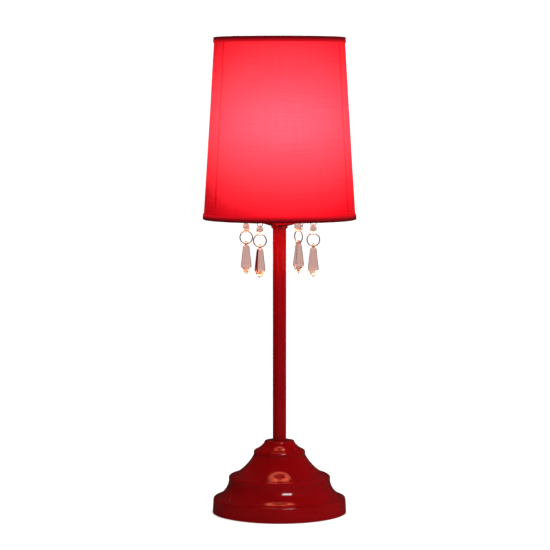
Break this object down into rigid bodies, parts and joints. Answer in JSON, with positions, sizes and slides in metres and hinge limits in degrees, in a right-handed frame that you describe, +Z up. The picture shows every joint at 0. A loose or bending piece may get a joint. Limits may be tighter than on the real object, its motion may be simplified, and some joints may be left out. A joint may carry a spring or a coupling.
{
  "type": "table lamp",
  "caption": "Slim red accent table lamp: tapered fabric shade, lit bulb, straight pole on a three-tier gloss base, and glass beads and faceted drops hanging under the shade.",
  "frame": {"origin": "middle of the face that the lamp rests on", "axes": "+Z up along the pole, -Y towards the front"},
  "size_m": [0.137, 0.137, 0.425],
  "materials": {
    "red_enamel": "high gloss",
    "iron": "rough",
    "zinc_steel": "zinc plated",
    "foam": "matte",
    "bushing": "matte",
    "phenolic": "semi-gloss",
    "insulator": "matte",
    "brass": "plain",
    "bulb_glass": "frosted",
    "clear_glass": "clear",
    "filament": "glowing",
    "bulb_metal": "rolled",
    "black_glass": "gloss",
    "shade_fabric": "plain weave, translucent",
    "shade_trim": "woven tape",
    "frame_enamel": "satin",
    "ring_metal": "polished",
    "crystal": "clear, faceted"
  },
  "bodies": {
    "stand": {"base_pad": "foam", "base_shell": "red_enamel", "base_weight": "iron", "base_nut": "zinc_steel", "base_lock_washer": "zinc_steel", "base_washer": "zinc_steel", "cord_bushing": "bushing", "lamp_pipe": "zinc_steel", "pole_tube": "red_enamel", "neck_collar": "red_enamel", "pendant_carrier": "red_enamel", "neck_nut": "zinc_steel", "lampholder_cap": "phenolic", "set_screw": "zinc_steel", "lampholder_skirt": "phenolic", "lampholder_core": "insulator", "terminal_screws": "brass", "screw_shell": "brass", "centre_contact": "brass", "switch_block": "insulator"},
    "shade": {"shade_fabric": "shade_fabric", "shade_top_trim": "shade_trim", "shade_bottom_trim": "shade_trim", "shade_top_wire": "frame_enamel", "shade_bottom_wire": "frame_enamel", "fitter_ring": "frame_enamel", "shade_rib_1": "frame_enamel", "shade_rib_2": "frame_enamel", "shade_rib_3": "frame_enamel", "fitter_arm_1": "frame_enamel", "fitter_arm_2": "frame_enamel", "fitter_arm_3": "frame_enamel"},
    "shade_lock": {"shade_ring": "phenolic"},
    "bulb": {"bulb_glass": "bulb_glass", "bulb_stem": "clear_glass", "bulb_filament": "filament", "bulb_base": "bulb_metal", "bulb_insulator": "black_glass", "bulb_tip": "bulb_metal"},
    "switch": {"switch_spindle": "brass", "switch_knob": "phenolic"},
    "strand_1": {"strand_1_link": "ring_metal", "strand_1_bead": "crystal"},
    "strand_1_ring": {"strand_1_loop": "ring_metal"},
    "strand_1_prism": {"strand_1_drop": "crystal"},
    "strand_2": {"strand_2_link": "ring_metal", "strand_2_bead": "crystal"},
    "strand_2_ring": {"strand_2_loop": "ring_metal"},
    "strand_2_prism": {"strand_2_drop": "crystal"},
    "strand_3": {"strand_3_link": "ring_metal", "strand_3_bead": "crystal"},
    "strand_3_ring": {"strand_3_loop": "ring_metal"},
    "strand_3_prism": {"strand_3_drop": "crystal"},
    "strand_4": {"strand_4_link": "ring_metal", "strand_4_bead": "crystal"},
    "strand_4_ring": {"strand_4_loop": "ring_metal"},
    "strand_4_prism": {"strand_4_drop": "crystal"}
  },
  "joints": [
    {"name": "shade_turn", "type": "hinge", "parent": "stand", "child": "shade", "pos_m": [0, 0, 0.2865], "axis": [0, 0, 1], "continuous": true},
    {"name": "shade_ring_unscrew", "type": "slide", "parent": "stand", "child": "shade_lock", "axis": [0, 0, 1], "range_m": [0, 0.009]},
    {"name": "bulb_unscrew", "type": "slide", "parent": "stand", "child": "bulb", "axis": [0, 0, 1], "range_m": [0, 0.028]},
    {"name": "switch_turn", "type": "hinge", "parent": "stand", "child": "switch", "pos_m": [0, 0, 0.2714], "axis": [0.9659, 0.2588, 0], "continuous": true},
    {"name": "strand_1_sway", "type": "hinge", "parent": "stand", "child": "strand_1", "pos_m": [-0.02988, 0.01725, 0.26243], "axis": [0, 1, 0], "range_deg": [-15, 15]},
    {"name": "strand_1_ring_swing", "type": "hinge", "parent": "strand_1", "child": "strand_1_ring", "pos_m": [-0.02988, 0.01725, 0.252], "axis": [1, 0, 0], "range_deg": [-10, 25]},
    {"name": "strand_1_drop_swing", "type": "hinge", "parent": "strand_1_ring", "child": "strand_1_prism", "pos_m": [-0.02988, 0.01725, 0.2408], "axis": [1, 0, 0], "range_deg": [-18, 35]},
    {"name": "strand_2_sway", "type": "hinge", "parent": "stand", "child": "strand_2", "pos_m": [-0.01725, -0.02988, 0.26243], "axis": [0, 1, 0], "range_deg": [-15, 15]},
    {"name": "strand_2_ring_swing", "type": "hinge", "parent": "strand_2", "child": "strand_2_ring", "pos_m": [-0.01725, -0.02988, 0.252], "axis": [1, 0, 0], "range_deg": [-25, 10]},
    {"name": "strand_2_drop_swing", "type": "hinge", "parent": "strand_2_ring", "child": "strand_2_prism", "pos_m": [-0.01725, -0.02988, 0.2408], "axis": [1, 0, 0], "range_deg": [-35, 18]},
    {"name": "strand_3_sway", "type": "hinge", "parent": "stand", "child": "strand_3", "pos_m": [0.01725, 0.02988, 0.26243], "axis": [0.788, 0.6157, 0], "range_deg": [-15, 15]},
    {"name": "strand_3_ring_swing", "type": "hinge", "parent": "strand_3", "child": "strand_3_ring", "pos_m": [0.01725, 0.02988, 0.252], "axis": [0.6157, -0.788, 0], "range_deg": [-10, 25]},
    {"name": "strand_3_drop_swing", "type": "hinge", "parent": "strand_3_ring", "child": "strand_3_prism", "pos_m": [0.01725, 0.02988, 0.2408], "axis": [0.6157, -0.788, 0], "range_deg": [-18, 35]},
    {"name": "strand_4_sway", "type": "hinge", "parent": "stand", "child": "strand_4", "pos_m": [0.02988, -0.01725, 0.26243], "axis": [0, 1, 0], "range_deg": [-15, 15]},
    {"name": "strand_4_ring_swing", "type": "hinge", "parent": "strand_4", "child": "strand_4_ring", "pos_m": [0.02988, -0.01725, 0.252], "axis": [1, 0, 0], "range_deg": [-25, 10]},
    {"name": "strand_4_drop_swing", "type": "hinge", "parent": "strand_4_ring", "child": "strand_4_prism", "pos_m": [0.02988, -0.01725, 0.2408], "axis": [1, 0, 0], "range_deg": [-35, 18]}
  ]
}
